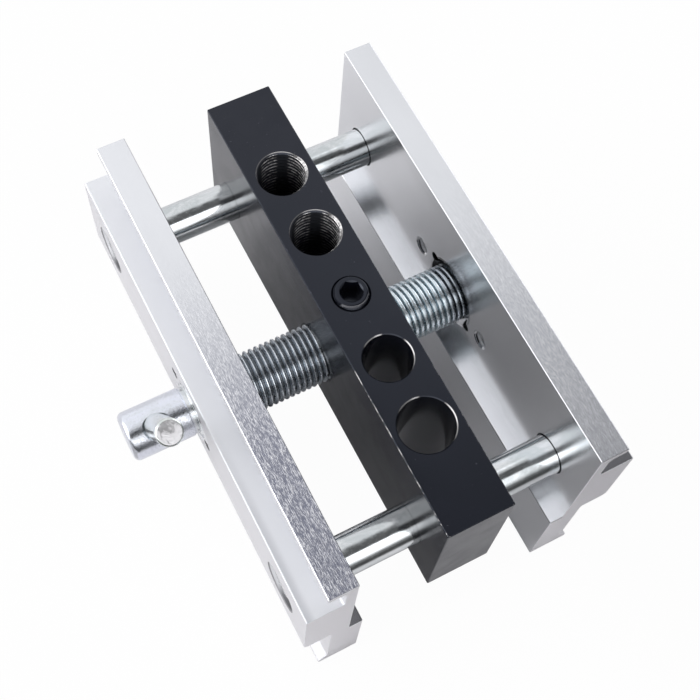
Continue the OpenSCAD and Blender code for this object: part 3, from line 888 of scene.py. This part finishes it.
def key_steel():
    """Dark steel of the key screws, with painted light on the near key of the right jaw."""
    m = Finish("key_steel", 1.0)
    cloud = m.noise(1.2, detail=4.0, roughness=0.6)
    tone = m.mix(m.remap(cloud, 0.3, 0.7), KEY_DULL, KEY_BRIGHT)
    return m.surface(m.mix(near_right_key_light(m), tone, KEY_PAINTED_LIGHT), 0.4, m.bump(cloud, 0.004))


def cleaned(piece):
    """Removes the doubled points and flat slivers that the booleans leave."""
    work = bmesh.new()
    work.from_mesh(piece.data)
    bmesh.ops.remove_doubles(work, verts=work.verts, dist=WELD)
    bmesh.ops.dissolve_degenerate(work, edges=work.edges, dist=WELD)
    work.to_mesh(piece.data)
    work.free()


def place_piece(piece, name, node, body, material):
    """Scales the finished piece to metres and hands it to the frame."""
    cleaned(piece)
    piece.name = name
    piece.data.name = name
    piece.data.transform(Matrix.Scale(MM, 4))
    piece.data.materials.clear()
    piece.data.materials.append(material)
    for face in piece.data.polygons:
        face.use_smooth = True
    piece.data.set_sharp_from_angle(angle=math.radians(SHARP_ANGLE))
    weigh = piece.modifiers.new("weigh", "WEIGHTED_NORMAL")
    weigh.mode = "FACE_AREA"
    weigh.keep_sharp = True
    baked(piece)
    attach(piece, body)
    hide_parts(node)


# Levels of the surround: far and near soft boxes, the bright left and right, overhead, and a
# strip that lights the tops
FAR_LIGHT, NEAR_LIGHT, LEFT_LIGHT, RIGHT_LIGHT, OVERHEAD = 0.74, 2.1, 2.15, 0.9, 0.12
TOP_LIGHT = 0.5
# The left and right boxes: direction, degrees to their even part's edge and to their end, level
SIDE_BOXES = (((-0.88, 0.28, 0.34), 16, 32, LEFT_LIGHT),
              ((0.88, 0.35, 0.30), 12, 26, RIGHT_LIGHT))
LIGHT_TINT, WHITE = (0.975, 0.98, 1.0), (1.0, 1.0, 1.0)

# The floor, in metres: half its width, and its gap under the jaws; then its tones, with painted
# shade, and the share of plain white that the camera sees
FLOOR_REACH, FLOOR_GAP = 4.0, 0.02 * MM
PAPER, PAPER_GAP_SHADE, PAPER_CORNER_SHADE = (0.84, 0.83, 0.835), (0.44, 0.435, 0.44), (0.58, 0.57, 0.58)
PAPER_NEAR_SHADE = (0.08, 0.08, 0.08)
WHITE_SHARE = 0.97


def studio():
    """Pale floor, and a soft white surround with a darker gap overhead."""
    r, z = FLOOR_REACH, JAW_BOTTOM * MM - FLOOR_GAP
    floor = solid("floor", [(-r, -r, z), (r, -r, z), (r, r, z), (-r, r, z)], [(0, 1, 2, 3)])
    if floor.data.polygons[0].normal.z < 0:
        floor.data.flip_normals()
    paper = bpy.data.materials.new("paper")
    paper.use_nodes = True
    floor.data.materials.append(paper)
    shade_floor(Tree(paper.node_tree))
    world = bpy.data.worlds.new("studio")
    world.use_nodes = True
    bpy.context.scene.world = world
    shade_world(Tree(world.node_tree))


def shade_floor(t):
    """Matt paper that the camera sees white but for shadows.

    To other rays it has painted shade in the gap between the jaws, at the near right corner and
    well beyond the near side.
    """
    x, y, _ = t.split(t.node("ShaderNodeTexCoord").outputs["Object"])
    # Painted shade on the floor: in the gap between the jaws and at the near right corner
    gap = t.product(t.remap(x, -0.045, -0.030), t.remap(y, -0.062, -0.054),
                    t.remap(y, 0.05, -0.075))
    corner = t.product(t.remap(x, 0.020, 0.050), t.remap(y, -0.03, -0.06))
    pale = t.layered(PAPER, (gap, PAPER_GAP_SHADE), (corner, PAPER_CORNER_SHADE))
    # Painted shade well beyond the near side
    pale = t.mix(t.remap(y, -0.18, -0.10), PAPER_NEAR_SHADE, pale)
    matt, glow = t.node("ShaderNodeBsdfDiffuse"), t.node("ShaderNodeEmission")
    t.link(pale, matt.inputs["Color"])
    path = t.node("ShaderNodeLightPath")
    both = t.node("ShaderNodeMixShader")
    t.link(t.product(path.outputs["Is Camera Ray"], WHITE_SHARE), both.inputs["Fac"])
    t.link(matt.outputs[0], both.inputs[1])
    t.link(glow.outputs[0], both.inputs[2])
    t.link(both.outputs[0], t.node("ShaderNodeOutputMaterial").inputs["Surface"])


def shade_world(t):
    """Soft boxes as shares of the direction, and plain white for the camera."""
    ray = t.node("ShaderNodeTexCoord").outputs["Generated"]
    x, y, z = t.split(ray)

    def towards(direction, inner, outer):
        """1 within inner degrees of a direction and 0 beyond outer degrees."""
        made = t.node("ShaderNodeVectorMath", operation="DOT_PRODUCT")
        t.link(ray, made.inputs[0])
        made.inputs[1].default_value = Vector(direction).normalized()
        return t.remap(made.outputs["Value"], math.cos(math.radians(outer)),
                       math.cos(math.radians(inner)))

    # The direction as seen along X: how far it leans to the far side, and how far it rises
    reach = t.distance(y, z, (0.0, 0.0))
    lean, rise = t.math("DIVIDE", y, reach), t.math("DIVIDE", z, reach)
    shift = t.remap(x, 0.07, 0.15, 0.36, 0.0)
    far = t.product(t.remap(t.math("ADD", lean, shift), 0.14, 0.46), FAR_LIGHT,
                    t.remap(x, 0.08, 0.14, 1.25, 1.0))
    close = t.math("ADD", lean, t.product(shift, 0.3))
    near = t.product(t.remap(close, -0.42, -0.54), t.remap(rise, 0.10, 0.62, 0.03, 1.0),
                     t.remap(x, 0.26, 0.34, NEAR_LIGHT, 0.25 * NEAR_LIGHT))
    top = t.product(t.remap(x, 0.20, 0.26), t.remap(x, 0.38, 0.32), t.remap(lean, 0.0, 0.15),
                    t.remap(lean, 0.55, 0.35), TOP_LIGHT)
    sides = [t.product(towards(direction, inner, outer), light)
             for direction, inner, outer, light in SIDE_BOXES]
    level = OVERHEAD
    for box in (far, near, top, *sides):
        level = t.math("ADD", level, box)
    path = t.node("ShaderNodeLightPath")
    seen = t.remap(path.outputs["Is Camera Ray"], 0.0, 1.0, level, 1.0)
    back = t.node("ShaderNodeBackground")
    t.link(t.mix(path.outputs["Is Camera Ray"], LIGHT_TINT, WHITE), back.inputs["Color"])
    t.link(seen, back.inputs["Strength"])
    t.link(back.outputs[0], t.node("ShaderNodeOutputWorld").inputs["Surface"])


# The photograph's camera: place and aim, roll in radians, then sensor width and focal length
EYE, TARGET, ROLL = (-67.8854, -101.5538, 276.4726), (3.349, 2.563, 0.0), 0.1298
SENSOR_W, FOCAL = 36, 63.268
# Nearest and farthest distance that the camera sees, in metres
CLIP_START, CLIP_END = 0.01, 20


def camera():
    """Camera at the photograph's place, aim and roll."""
    eye, target = Vector(EYE) * MM, Vector(TARGET) * MM
    ahead = (target - eye).normalized()
    level = ahead.cross(Vector((0, 0, 1))).normalized()
    upright = level.cross(ahead)
    right = level * math.cos(ROLL) + upright * math.sin(ROLL)
    up = upright * math.cos(ROLL) - level * math.sin(ROLL)
    data = bpy.data.cameras.new("camera")
    data.sensor_fit = "HORIZONTAL"
    data.sensor_width = SENSOR_W
    data.lens = FOCAL
    data.clip_start = CLIP_START
    data.clip_end = CLIP_END
    seen = bpy.data.objects.new("camera", data)
    bpy.context.scene.collection.objects.link(seen)
    turn = Matrix((right, up, -ahead)).transposed().to_4x4()
    seen.matrix_world = Matrix.Translation(eye) @ turn
    bpy.context.scene.camera = seen


def main():
    """Places every piece with its metal, then sets up the studio and the camera."""
    aluminium, plated = jaw_aluminium(), plated_steel()
    nut_metal, key_metal = nut_steel(), key_steel()
    place_piece(guide_block(), "drilled_block", "guide_block", "block",
                worn_black_steel())
    place_piece(set_screw(), "grub_screw", "block_set_screw", "block",
                black_steel())
    for word, side in (("far", 1), ("near", -1)):
        place_piece(guide_rod(side), word + "_rod", word + "_guide_rod", "block",
                    plated)
    place_piece(lead_screw(), "threaded_screw", "lead_screw", "screw", plated)
    place_piece(cross_bar(), "cross_bar", "t_bar", "screw", bar_steel())
    for word in ("left", "right"):
        made = [jaw(), nut(), keys()]
        if word == "left":
            made = [mirrored(piece) for piece in made]
        body = word + "_jaw_body"
        place_piece(made[0], word + "_extrusion", word + "_jaw", body, aluminium)
        place_piece(made[1], word + "_threaded_nut", word + "_nut", body, nut_metal)
        place_piece(made[2], word + "_grub_keys", word + "_nut_keys", body, key_metal)
    studio()
    camera()
    bpy.context.scene.view_settings.view_transform = "Standard"


main()
